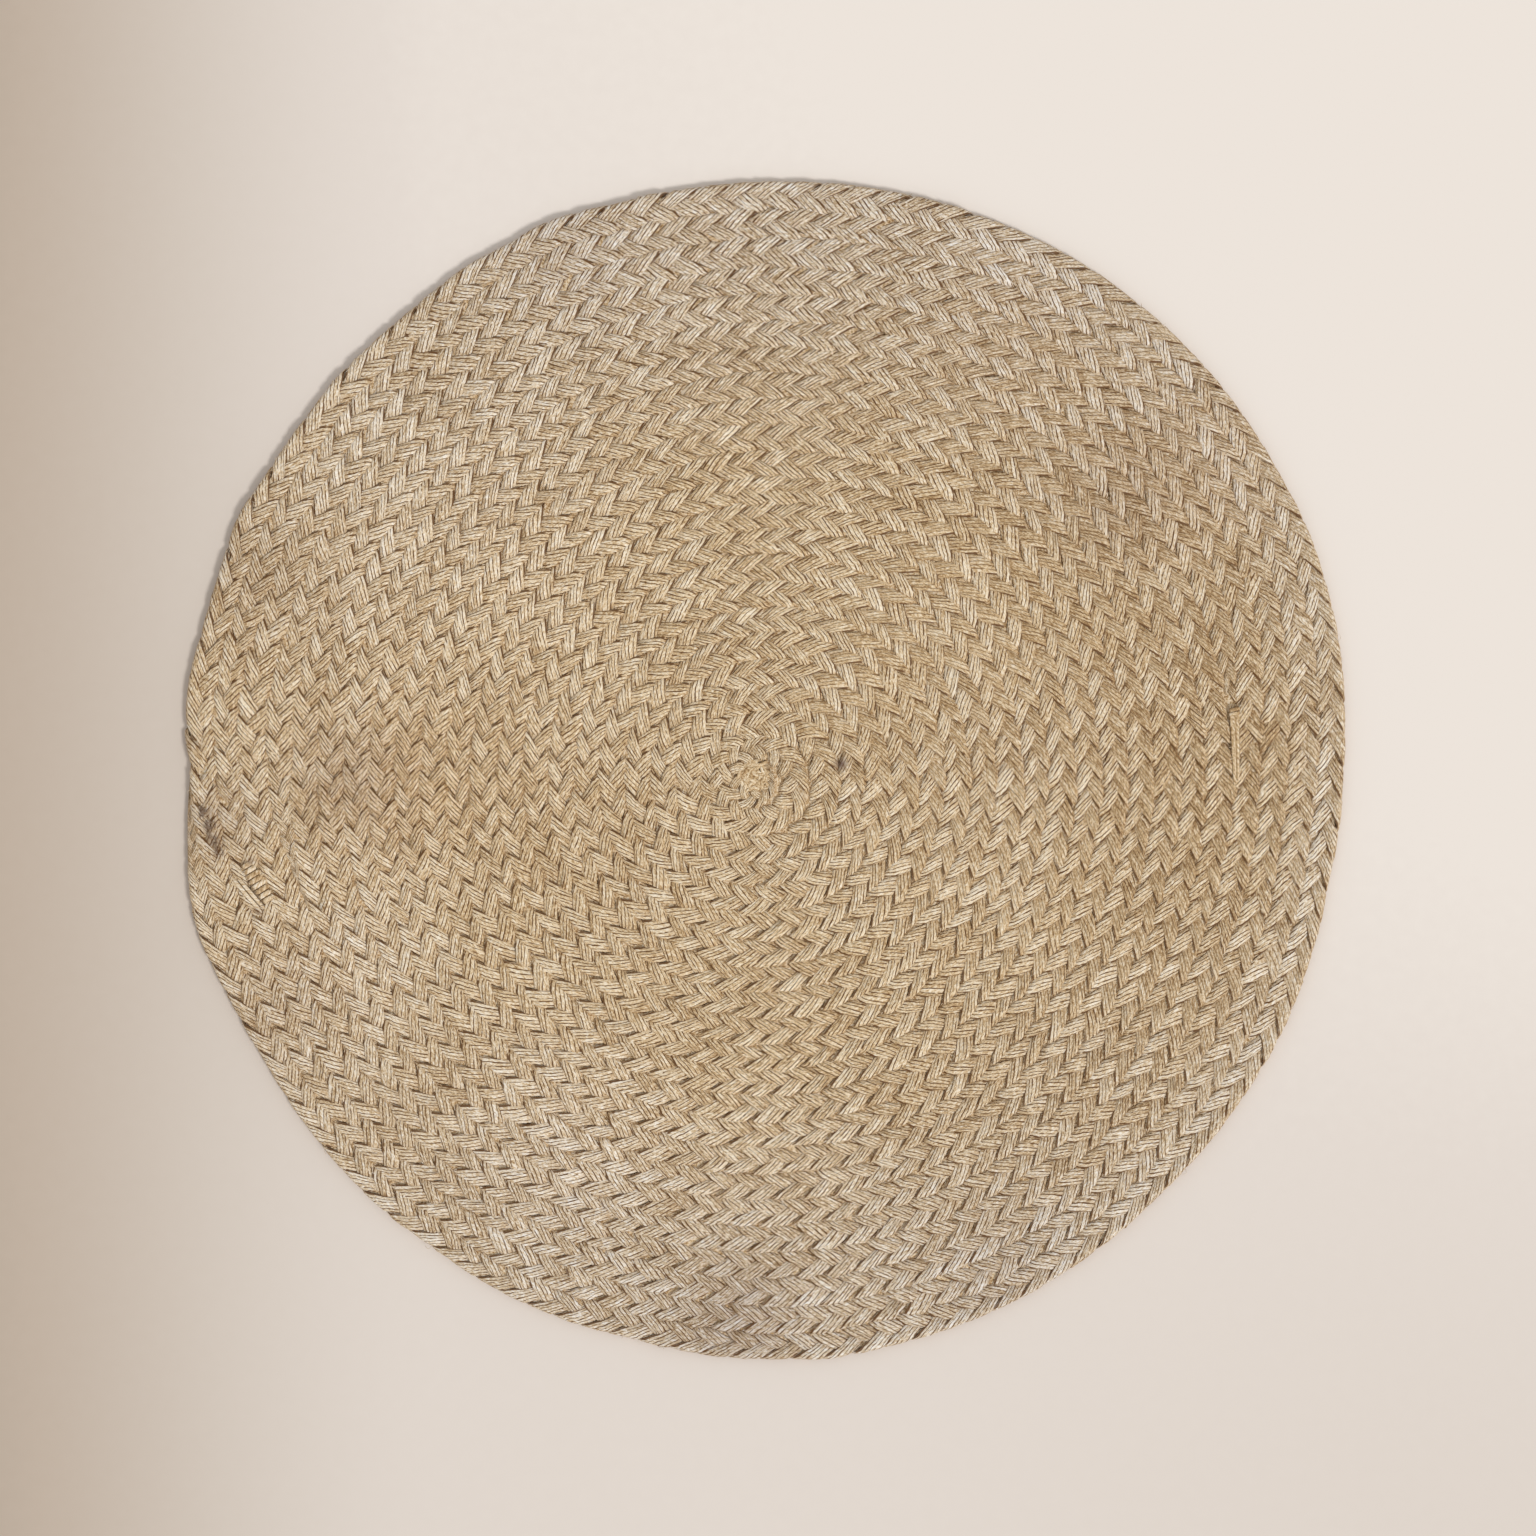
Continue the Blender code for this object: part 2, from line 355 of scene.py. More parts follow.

# The floor's painted light and shade, in metres and in shares of its colour ramp
FLOOR_HALF = 8.0
FLOOR_SPAN = (-0.9, 0.9)
LEFT_SHADOW_BAND = (-0.68, -0.24)  # a painted shadow band along the left that ends here and fades out again further left
LEFT_SHADOW_BAND_FADE = (-1.5, -0.8)  # and fades out again further left
# painted shade towards the lower right
LOW_RIGHT_X = (-0.1, 0.6)
LOW_RIGHT_Y = (-0.6, 0.0)
FLOOR_DARKEST = 0.1385
LIGHT_TO_RIGHT = 0.183
LIGHT_TO_TOP = 0.14
SHADOW_BAND_MIDDLE_LIFT = 0.2
SHADOW_BAND_DEPTH = 0.62
LOW_RIGHT_SHADE = -0.12
GRAIN_AMOUNT = 0.04
FLOOR_ROUGHNESS = 0.9
FLOOR_SPECULAR = 0.1

# Light and camera, in metres
KEY_PLACE = (1.7, -1.6, 2.6)
KEY_STRENGTH = 1.6
KEY_SOFTNESS_DEG = 14
WORLD_STRENGTH = 0.61
SENSOR = 36.0
CAMERA_DISTANCE = 3.0
CAMERA_PLACE = (0.0015, 0.0019, CAMERA_DISTANCE + 0.008)
VIEW_WIDE = 1.1835


def smooth(share):
    share = np.clip(share, 0, 1)
    return share * share * (3 - 2 * share)


def fade_in(value, start, span):
    """0 up to start and 1 from start + span on."""
    return smooth((value - start) / span)


def fade_out(value, end, span):
    """1 up to end - span and 0 from end on."""
    return smooth((end - value) / span)


def round_curve(column, angles):
    """The table's column at each angle, on a smooth closed curve through its rows."""
    rows = np.array(COIL_TABLE)
    knots = np.concatenate((rows[-2:, 0] - 360, rows[:, 0], rows[:2, 0] + 360))
    values = np.concatenate((rows[-2:, column], rows[:, column], rows[:2, column]))
    angles = np.asarray(angles, float) % 360
    ahead = np.searchsorted(knots, angles, side="right")
    x0, x1, x2, x3 = (knots[ahead + i] for i in (-2, -1, 0, 1))
    v0, v1, v2, v3 = (values[ahead + i] for i in (-2, -1, 0, 1))
    span = x2 - x1
    share = (angles - x1) / span
    rise_in = (v2 - v0) / (x2 - x0) * span
    rise_out = (v3 - v1) / (x3 - x1) * span
    return (
        v1 * (1 + 2 * share) * (1 - share) ** 2
        + v2 * share**2 * (3 - 2 * share)
        + rise_in * share * (1 - share) ** 2
        - rise_out * share**2 * (1 - share)
    )


def jogs(angles):
    """Small local steps of the rug's outline."""
    total = np.zeros(np.shape(angles))
    for middle, size, half in JOGS:
        aside = (np.asarray(angles) - middle + 180) % 360 - 180
        total = total + size * np.exp(-((aside / half) ** 2))
    return total


def wander(at, spacing, size, seed):
    """A smooth random curve."""
    at = np.asarray(at, float) / spacing
    knots = np.random.default_rng(seed).normal(0, size, int(at.max()) + 3)
    low = np.floor(at).astype(int)
    share = smooth(at - low)
    return knots[low] * (1 - share) + knots[low + 1] * share


def first_angle(step):
    return (FIRST_START_SLOT - step) * 360 / STEPS


def outer_angle(step):
    return (OUTER_START_SLOT - step) * 360 / STEPS


def first_width(step):
    """Width of the first length's braid here, as a share of its full width."""
    return smooth((FIRST_END_STEP - step) / TAPER_STEPS)


def outer_width(step):
    """Width of the second length's braid here, as a share of its full width."""
    return smooth(step / TAPER_STEPS) * smooth((OUTER_END_STEP - step) / TAPER_STEPS)


def first_seam(step):
    """Distance of the first length's outer edge from the coil's middle."""
    turn = FIRST_START_TURN + step / STEPS
    return round_curve(WIDTH_COLUMN, first_angle(step)) * (turn - 1 + first_width(step))


def last_first_step(angle):
    """The first length's last step at this angle."""
    return FIRST_END_STEP - ((angle - first_angle(FIRST_END_STEP)) / 360 * STEPS) % STEPS


def outer_stack(step):
    """Share of the second length's width at this angle that lies inside this step's outer edge."""
    base = step % STEPS
    turn = np.floor(step / STEPS)
    widths = [outer_width(base + i * STEPS) for i in range(math.ceil(OUTER_TURNS))]
    filled = sum(w * (i <= turn) for i, w in enumerate(widths))
    return filled / sum(widths)


def outline_middle():
    """Half-way between the outline's extremes, which the rug is centred on."""
    angle = np.radians(np.arange(STEPS) * 360 / STEPS)
    radius = round_curve(EDGE_COLUMN, np.degrees(angle))
    points = np.stack((radius * np.cos(angle), radius * np.sin(angle)), axis=1)
    return (points.min(axis=0) + points.max(axis=0)) / 2


MIDDLE = outline_middle()


class Length:
    """One length of braid: where its two edges run, in small steps."""

    def __init__(self, steps, angle, inside, outside, turn, seed):
        self.steps = steps
        self.angle = np.radians(angle)
        self.inside = inside
        self.outside = outside
        shift = 1 - smooth(turn / START_SHIFT_TURNS)
        self.shift = np.array(START_SHIFT_MM)[:, None] * shift
        self.width = outside - inside
        middle = self.plan(steps, np.full_like(steps, 0.5))
        hops = np.linalg.norm(np.diff(middle, axis=0), axis=1)
        tight = 1 + CENTRE_PACE * np.exp(-((inside + outside) / 2) / CENTRE_FADE)
        along = np.concatenate(((0,), np.cumsum(hops)))
        pace = 360 / PERIOD / np.clip(self.width / BRAID_WIDTH, *PACE_WIDTHS) ** PACE_BY_WIDTH
        pace *= tight * (1 + wander(along, *PACE_WANDER, seed))
        pace = (pace[1:] + pace[:-1]) / 2
        self.phase = np.concatenate(((0,), np.cumsum(hops * pace)))

    def plan(self, steps, across):
        """Plan points; across is 0 at the inner seam and 1 at the outer one."""
        inside = np.interp(steps, self.steps, self.inside)
        outside = np.interp(steps, self.steps, self.outside)
        radius = inside + (outside - inside) * across
        angle = np.interp(steps, self.steps, self.angle)
        shift_x = np.interp(steps, self.steps, self.shift[0])
        shift_y = np.interp(steps, self.steps, self.shift[1])
        x = radius * np.cos(angle) + shift_x - MIDDLE[0]
        y = radius * np.sin(angle) + shift_y - MIDDLE[1]
        return np.stack((x, y), axis=-1)

    def step_at(self, phase):
        return np.interp(phase, self.phase, self.steps)


def first_length():
    steps = np.arange(FIRST_END_STEP * FINE + 1) / FINE
    angle = first_angle(steps)
    outside = first_seam(steps)
    along = np.arange(len(steps)) * outside * 2 * np.pi / STEPS / FINE
    rough = wander(along, *SEAM_WANDER, 3)
    outside = outside + rough * smooth(steps / STEPS) * first_width(steps)
    inside = np.interp(steps - STEPS, steps, outside, left=KNOT_RADIUS)
    inside = np.where(steps < STEPS, KNOT_RADIUS, inside)
    turn = FIRST_START_TURN + steps / STEPS
    return Length(steps, angle, inside, outside, turn, 11)


def outer_length(first):
    steps = np.arange(OUTER_END_STEP * FINE + 1) / FINE
    angle = outer_angle(steps)
    base = np.interp(last_first_step(angle % 360), first.steps, first.outside)
    edge = round_curve(EDGE_COLUMN, angle) + jogs(angle)
    outside = base + (edge - base) * outer_stack(steps)
    off_rim = fade_out(steps, OUTER_END_STEP - STEPS, RIM_FADE_STEPS)
    outside = outside + wander(steps * STEP_LENGTH, *SEAM_WANDER, 5) * off_rim
    inside = np.where(steps < STEPS, base, np.interp(steps - STEPS, steps, outside))
    turn = np.full_like(steps, FIRST_END_TURN)
    return Length(steps, angle, inside, outside, turn, 12)


def by_side(side, pair):
    """The pair's first number on the braid's inner half and its second on the outer half."""
    return np.where(side < 0, *pair)


def turn_over(psi, middle, half):
    """0 before the middle angle and 1 after it, changing over half to each side."""
    return smooth((psi - middle + half) / (2 * half))


def level(psi, column, lean, side, uneven):
    """Height along a strand's path, from -1 (under) to 1 (over)."""
    outer_yarn = (column / YARN_SPREAD) ** 2 * uneven
    rise = lean * column / 2 + by_side(side, HEAD_ROUND_DEG) * outer_yarn + HEAD_SHIFT_DEG * side
    fall = 90 - by_side(side, TIP_ROUND_DEG) * outer_yarn
    up = turn_over(psi, rise, EMERGE_HALF_DEG)
    down = turn_over(psi, fall, EDGE_HALF_DEG)
    again = turn_over(psi - 180, rise, EMERGE_HALF_DEG)
    return -1 + 2 * up - 2 * down + 2 * again


def radius_of(plan):
    return np.linalg.norm(plan, axis=-1)


def rightward(plan):
    """Share of the direction from the middle that points right, from 0 to 1."""
    return np.maximum(plan[..., 0], 0) / (radius_of(plan) + 1e-6)


def at_edge(radius):
    """1 by the rug's edge and 0 well inside it."""
    return fade_in(radius, *EDGE_FADE)


def warmth(plan):
    """How much warmer and darker the jute is here, towards the rug's right."""
    radius = radius_of(plan)
    return rightward(plan) * fade_in(radius, *WARM_FADE) * (1 - at_edge(radius))


def paint_facing_light(plan):
    """Painted light: how much paler the inner half's lobes are painted here than the outer half's,
    as if lit where they face left.
    """
    radius = radius_of(plan)
    towards = math.radians(FACING_LIGHT_TOWARDS_DEG)
    share = (plan[..., 0] * math.cos(towards) + plan[..., 1] * math.sin(towards)) / (radius + 1e-6)
    painted_facing_light = FACING_LIGHT_LEFT + (FACING_LIGHT_RIGHT - FACING_LIGHT_LEFT) * fade_in(share, *FACING_LIGHT_FADE)
    return painted_facing_light * smooth(radius / FACING_LIGHT_FROM_RADIUS)


def greyness(plan):
    """How much greyer the jute is here, towards the rug's far and near edges."""
    radius = radius_of(plan)
    aside = np.abs(plan[..., 1]) / (radius + 1e-6)
    far_and_near = GREY_ALL_ROUND + (1 - GREY_ALL_ROUND) * aside**2
    right_edge = GREY_RIGHT_EDGE * rightward(plan) * at_edge(radius)
    return fade_in(radius, *GREY_FADE) * far_and_near + right_edge


def marks(plan, table):
    """Strength of the round marks of this table here, from 0 to 1."""
    total = np.zeros(plan.shape[:-1])
    for x, y, size, strength in table:
        far = np.hypot(plan[..., 0] - x, plan[..., 1] - y) / size
        total = np.maximum(total, strength * np.exp(-(far**2)))
    return total


def place_looks(plan):
    """Looks that follow the place on the rug."""
    return {
        "warmth": warmth(plan),
        "grey": greyness(plan),
        "worn": marks(plan, WORN),
        "rich": marks(plan, RICH),
        "shaded": marks(plan, SHADED),
        "stain": marks(plan, STAINS),
    }


class Strand:
    """One strand's half loops, in grids of (loops, stations along, columns across).

    psi is the angle along a half loop: it crosses the braid's middle at 0, is farthest to
    its side at 90 and is back at the middle, underneath, at 180. delta is the angle by which
    a yarn runs behind the strand's middle one. Lobes on the rug's rim are more even.
    """

    def __init__(self, length, strand, seed, rim_phase, until):
        self.rng = np.random.default_rng(seed)
        self.length = length
        self.offset = STRAND_OFFSET_DEG * strand
        first = math.ceil((length.phase[0] + self.offset - 20) / 180)
        last = math.floor((until + self.offset - 120) / 180)
        self.loops = np.arange(first, last + 1)[:, None, None]
        self.side = np.where(self.loops % 2 == 0, 1.0, -1.0)
        rim = fade_in(180 * self.loops + 60 - self.offset, rim_phase, 60)
        self.at_rim = rim * (self.side > 0)
        self.uneven = 1 - RIM_SMOOTH * self.at_rim

    def per_lobe(self, size):
        return self.rng.normal(0, size, (len(self.loops), 1, 1))

    def per_yarn(self, size):
        return self.rng.normal(0, size, (len(self.loops), 1, len(YARN_COLUMNS)))

    def lay_yarns(self):
        """psi and delta of every point."""
        self.lean = EMERGE_SHEAR * (1 + self.per_lobe(LEAN_VARIES))
        span, power = LEAN_WEIGHT
        weight = np.clip(np.abs(STATION - 90) / span, 0, 1) ** power
        psi = STATION + self.lean * COLUMN / 2 * weight
        fan = self.per_lobe(FAN_VARIES)
        to_seam = fade_in(psi, *TO_SEAM) * fade_out(psi, *OFF_SEAM) * self.uneven
        to_middle = fade_out(psi, *TO_MIDDLE)
        self.to_ends = np.maximum(to_seam, to_middle)
        narrow = by_side(self.side, SEAM_NARROW) * to_seam
        narrow = narrow + by_side(self.side, MIDDLE_NARROW) * to_middle
        delta = COLUMN * (1 + fan * np.cos(np.radians(psi)) - narrow - SIDE_NARROW * self.side)
        whole, bend = SWAY_VARIES
        sway = self.per_yarn(whole) + self.per_yarn(bend) * np.cos(np.radians(psi * 2))
        self.psi = psi
        self.delta = delta + np.where(IS_LIP, 0, sway)

    def bend_over(self):
        """x and z of the strand's outer face, half its thickness out from its path."""
        reach = PATH_REACH * (1 + self.per_lobe(REACH_VARIES) * self.uneven)
        reach = reach * np.where(self.at_rim > 0, 1.0, by_side(self.side, SIDE_REACH))
        lift = PATH_LIFT * (1 + self.per_lobe(LIFT_VARIES))
        bow = self.per_lobe(BOW_VARIES)

        def path(psi):
            across = np.sin(np.radians(psi))
            tilt = 1 + by_side(self.side, LOBE_TILT) * (np.abs(across) - 0.6)
            height = level(psi, COLUMN, self.lean, self.side, self.uneven)
            return reach * (across + bow * np.sin(np.radians(2 * psi))), lift * height * tilt

        x, z = path(self.psi)
        x_after, z_after = path(self.psi + 1)
        x_before, z_before = path(self.psi - 1)
        dx, dz = x_after - x_before, z_after - z_before
        norm = np.hypot(dx, dz) + 1e-9
        thick = self.thickness()
        return self.side * (x - dz / norm * thick), z + dx / norm * thick

    def thickness(self):
        """Half the strand's thickness, with a groove between each two yarns."""
        thinner = EDGE_THIN + TIP_ROUND * self.to_ends
        crown = 1 - thinner * np.abs(COLUMN / YARN_SPREAD) ** CROWN_POWER
        shallow = 1 - (1 - GROOVE_LEFT) * fade_in(self.psi, *GROOVE_FADE)
        groove = YARN_GROOVE * (1 + self.per_yarn(GROOVE_VARIES)) * shallow
        thick = HALF_THICK * crown - np.where(IS_CREST | IS_LIP, 0, groove)
        whole, bend = CREST_VARIES
        crest = self.per_yarn(whole) + self.per_yarn(bend) * np.sin(np.radians(self.psi * 2))
        thick = thick + np.where(IS_CREST, crest, 0) + self.per_lobe(THICK_VARIES)
        return np.where(IS_LIP, LIP_THICK * HALF_THICK, thick)

    def place(self, x, z):
        """Put the loops on the rug; returns the phase, plan and height of every point."""
        phase = 180.0 * self.loops + self.psi - self.offset - self.delta
        phase = phase + self.per_lobe(PHASE_VARIES)
        length = self.length
        steps = length.step_at(np.clip(phase, length.phase[0], length.phase[-1]))
        width = np.interp(steps, length.steps, length.width) / BRAID_WIDTH
        squeeze = SEAM_SQUEEZE + (RIM_SQUEEZE - SEAM_SQUEEZE) * self.at_rim
        plan = length.plan(steps, 0.5 + x * squeeze / BRAID_WIDTH)
        least, power = TALLNESS
        tall = np.clip(width, least, 1) ** power
        bed = MID_HEIGHT - (MID_HEIGHT - 0.5) * (1 - tall) * self.at_rim
        return phase, plan, np.maximum(bed + z * tall, LOWEST)

    def looks(self, phase, plan, height):
        """What the material reads at every point."""
        shape = self.psi.shape
        lobe_tone = self.per_lobe(1)
        yarn_tone = self.per_yarn(1)
        # painted shade where a lobe comes out from under the next strand, towards the seam and
        # where it lies low
        dive = 1 - fade_in(self.psi - self.lean * COLUMN / 2, *DIVE_FADE)
        seam = SEAM_SHADE_STRENGTH * fade_in(self.psi, *SEAM_FADE)
        sunk = fade_out(height, *SUNK_FADE)
        return {
            "tone": np.broadcast_to(LOBE_TONE * lobe_tone + YARN_TONE * yarn_tone, shape),
            # painted light on lobes that face left, painted shade on those that face right
            "painted_facing_light": -self.side * (1 + FACING_LIGHT_VARIES * lobe_tone) * paint_facing_light(plan),
            "crevice_shade": np.maximum(seam, np.maximum(dive, sunk)),
            "outline_shade": IS_LIP * fade_in(height, *OUTLINE_SHADE_FADE),
            "along": phase * PERIOD / 360 * ALONG_SCALE,
            "across": np.broadcast_to(COLUMN / 24, shape),
            "lobe": np.broadcast_to(self.loops * LOBE_SPACING, shape),
            **place_looks(plan),
        }

    def build(self):
        """Points, whether each loop's faces keep their order, and looks."""
        self.lay_yarns()
        phase, plan, height = self.place(*self.bend_over())
        points = np.concatenate((plan, height[..., None]), axis=-1)
        return points, self.side[:, 0, 0] > 0, self.looks(phase, plan, height)


def yarns(paths, radii, flat, seed, tone=0.0, stain=0.0):
    """Closed yarns along many paths (yarns, stations, 3), flattened by the share flat."""
    rng = np.random.default_rng(seed)
    paths = np.asarray(paths, float)
    count, stations = paths.shape[:2]
    tangent = np.gradient(paths, axis=1)
    tangent /= np.linalg.norm(tangent, axis=-1, keepdims=True) + 1e-9
    aside = np.cross(tangent, (0.0, 0.0, 1.0))
    aside /= np.linalg.norm(aside, axis=-1, keepdims=True) + 1e-9
    above = np.cross(aside, tangent)
    around = np.radians(np.linspace(-90, 270, YARN_SIDES + 1))
    radii = np.broadcast_to(np.asarray(radii, float), (count, stations)) * end_taper(stations)
    out = aside[:, :, None, :] * np.cos(around)[None, None, :, None]
    up = above[:, :, None, :] * (np.sin(around) * flat)[None, None, :, None]
    points = paths[:, :, None, :] + (out + up) * radii[:, :, None, None]
    points[..., 2] = np.maximum(points[..., 2], YARN_LOWEST)
    hops = np.linalg.norm(np.diff(paths, axis=1, prepend=paths[:, :1]), axis=-1)
    shape = points.shape[:3]
    index = np.arange(count)[:, None, None]
    own_tone = tone + rng.normal(0, YARN_TONE_VARIES, (count, 1, 1))
    looks = {
        "tone": np.broadcast_to(own_tone, shape),
        "painted_facing_light": np.zeros(shape),
        "crevice_shade": np.zeros(shape),
        # painted shade on each yarn's underside
        "outline_shade": np.broadcast_to(1.0 * (np.sin(around) < 0.1), shape),
        "along": np.broadcast_to(np.cumsum(hops, axis=1)[:, :, None], shape),
        "across": np.broadcast_to(3.0 * index + 0.28 * np.cos(around), shape),
        "lobe": np.broadcast_to(index * YARN_SPACING + seed, shape),
        **place_looks(points[..., :2]),
    }
    looks["stain"] = np.maximum(looks["stain"], stain)
    return points, np.ones(count, bool), looks


def end_taper(stations):
    """Share of a yarn's radius at each station: its ends are rounded off."""
    share = np.linspace(0, 1, stations)
    return np.sqrt(np.clip(np.minimum(share, 1 - share) / END_TAPER, 0.0004, 1))


def arc(middle, radius, start, end, height):
    """A path along a circle in plan, from start to end in degrees, bowed up in its middle."""
    angle = np.radians(np.linspace(start, end, YARN_STATIONS))
    radius = np.linspace(*radius, YARN_STATIONS)
    bow = np.sin(np.linspace(0, np.pi, YARN_STATIONS))
    x = middle[0] + radius * np.cos(angle)
    y = middle[1] + radius * np.sin(angle)
    return np.stack((x, y, height[0] + (height[1] - height[0]) * bow), axis=-1)


def line_path(start, end, height, bend=0.0, stations=YARN_STATIONS):
    """A straight or slightly bent path in plan, bowed up in its middle."""
    share = np.linspace(0, 1, stations)[:, None]
    start, end = np.array(start), np.array(end)
    plan = start + (end - start) * share
    bow = np.sin(share[:, 0] * np.pi)
    across = np.array((-(end - start)[1], (end - start)[0]))
    plan = plan + bend * across * bow[:, None]
    return np.column_stack((plan, height[0] + (height[1] - height[0]) * bow))


def short_path(middle, way, half, top, drop, bend=0.0):
    """A path through its middle, with half its length to each side, along way in radians."""
    half = half * np.array((math.cos(way), math.sin(way)))
    return line_path(middle - half, middle + half, (top - drop, top), bend)


def between(pair, share):
    """The point at this share of the way from the pair's first point to its second."""
    return np.array(pair[0]) * (1 - share) + np.array(pair[1]) * share


def centre_knot():
    """The matted start of the braid: short bent yarns wound round the rug's centre."""
    rng = np.random.default_rng(7)
    middle = np.array(START_SHIFT_MM) - MIDDLE + KNOT_SHIFT
    paths = []
    for k in range(KNOT_YARNS):
        radius = 0.5 + KNOT_REACH * math.sqrt(k / KNOT_YARNS)
        turn = math.radians(GOLDEN_DEG * k)
        at = middle + radius * np.array((math.cos(turn), math.sin(turn)))
        way = turn - math.pi / 2 + rng.normal(0, 0.4)
        half = rng.uniform(3.5, 6.5)
        top = 8.4 - 0.05 * radius + rng.normal(0, 0.3)
        paths.append(short_path(at, way, half, top, 1.0, -0.18))
    return yarns(paths, rng.uniform(1.1, 1.6, (KNOT_YARNS, 1)), flat=0.8, seed=8, tone=-0.8)


def first_tail_strip():
    """Plain yarns along the end of the first length."""
    start, end = TAIL_STRIP
    paths = []
    for aside in (-2.7, -0.9, 0.9, 2.7):
        above = (start[0] + aside, start[1])
        below = (end[0] + 0.4 * aside, end[1])
        paths.append(line_path(above, below, (7.6, 9.3), stations=16))
    return yarns(paths, 1.35, flat=0.8, seed=21, tone=-0.9)


def first_tail_stitches():
    """Short threads across that strip, and the small wrapped bump above it."""
    paths = []
    for y in TAIL_STITCHES:
        start, end = ((end_x, y + rise) for end_x, rise in STITCH_ENDS)
        paths.append(line_path(start, end, (7.4, 10.0)))
    radii = np.where(np.arange(len(TAIL_STITCHES)) < 2, 1.6, 0.55)[:, None]
    return yarns(paths, radii, flat=0.8, seed=22, tone=0.2)


def wrapped_end():
    """The wrapped oval end near the rug's left edge."""
    start, end = np.array(WRAPPED_END)
    way = (end - start) / np.linalg.norm(end - start)
    across = np.array((-way[1], way[0]))
    paths = []
    for k in range(WRAPS):
        share = (k + 0.5) / WRAPS
        at = start + (end - start) * share
        half = 7.6 * math.sqrt(1 - (2 * share - 1) ** 2 * 0.85)
        paths.append(line_path(at - across * half, at + across * half, (6.8, 9.8)))
    return yarns(paths, 2.2, flat=0.5, seed=23, tone=-0.6)


def straight_band():
    """Straight yarns beside the wrapped end."""
    paths = [line_path(*row) for row in STRAIGHT_BAND]
    return yarns(paths, 1.7, flat=0.7, seed=24, tone=-0.1)


def dark_stitches():
    """Frayed dark sewing thread by the rug's left edge and over the wrapped end."""
    rng = np.random.default_rng(25)
    paths = []
    for _ in range(DARK_FIBRES):
        at = between(DARK_FRAY, rng.uniform(0, 1)) + rng.normal(0, 1.5, 2)
        way = math.radians(rng.normal(-62, 38))
        half = rng.uniform(1.4, 3.6)
        top = 9.6 + rng.uniform(0, 0.8)
        paths.append(short_path(at, way, half, top, 0.9, rng.normal(0, 0.2)))
    for share in np.linspace(0, 1, DARK_ROW_STITCHES):
        way = math.radians(rng.normal(20, 14))
        paths.append(short_path(between(DARK_ROW, share), way, 1.5, 10.2, 1.0))
    return yarns(paths, 0.24, flat=1.0, seed=26, tone=-0.4, stain=0.7)


def thread_loops():
    """Small pale loops of sewing thread that stand out of the face."""
    paths = []
    for x, y, size, turn in THREAD_LOOPS:
        paths.append(arc((x, y), (size, size * 0.8), turn, turn + 250, (8.8, 10.6)))
    return yarns(paths, 0.4, flat=1.0, seed=27, tone=1.2)


def loose_fibres():
    """Single fibres that stand off the face and, every fourth one, off the edge."""
    rng = np.random.default_rng(28)
    paths = []
    for k in range(FIBRES):
        turn = rng.uniform(0, 2 * math.pi)
        off_edge = k % 4 == 0
        edge = round_curve(EDGE_COLUMN, math.degrees(turn)) - 1.0
        radius = edge if off_edge else (edge - 6) * math.sqrt(rng.uniform(0.001, 1))
        at = radius * np.array((math.cos(turn), math.sin(turn))) - MIDDLE
        way = rng.uniform(0, 2 * math.pi)
        half = rng.uniform(1.5, 4.0)
        top = rng.uniform(5.0, 8.5) if off_edge else rng.uniform(9.6, 10.6)
        paths.append(short_path(at, way, half, top, 1.2, rng.normal(0, 0.3)))
    return yarns(paths, 0.13, flat=1.0, seed=29, tone=0.6)


def grid_faces(count, rows, columns, in_order):
    """Quads of many separate grids, turned over where in_order is false."""
    index = np.arange(count * rows * columns).reshape(count, rows, columns)
    a, b = index[:, :-1, :-1], index[:, 1:, :-1]
    c, d = index[:, 1:, 1:], index[:, :-1, 1:]
    ordered = np.stack((a, b, c, d), axis=-1)
    turned = np.stack((a, d, c, b), axis=-1)
    faces = np.where(in_order[:, None, None, None], ordered, turned)
    return faces.reshape(-1, 4)


def atlas(count, rows, columns):
    """Texture places for many separate grids, each in a cell of its own."""
    cell = np.arange(count)[:, None, None]
    high = math.ceil(count / ATLAS_WIDE)
    share_u = 0.02 + 0.96 * np.arange(rows)[None, :, None] / (rows - 1)
    share_v = 0.06 + 0.88 * np.arange(columns)[None, None, :] / (columns - 1)
    u = (cell % ATLAS_WIDE + share_u) / ATLAS_WIDE
    v = (cell // ATLAS_WIDE + share_v) / high
    return np.stack(np.broadcast_arrays(u, v), axis=-1).reshape(-1, 2)


def add_object(name, data):
    made = bpy.data.objects.new(name, data)
    bpy.context.scene.collection.objects.link(made)
    return made


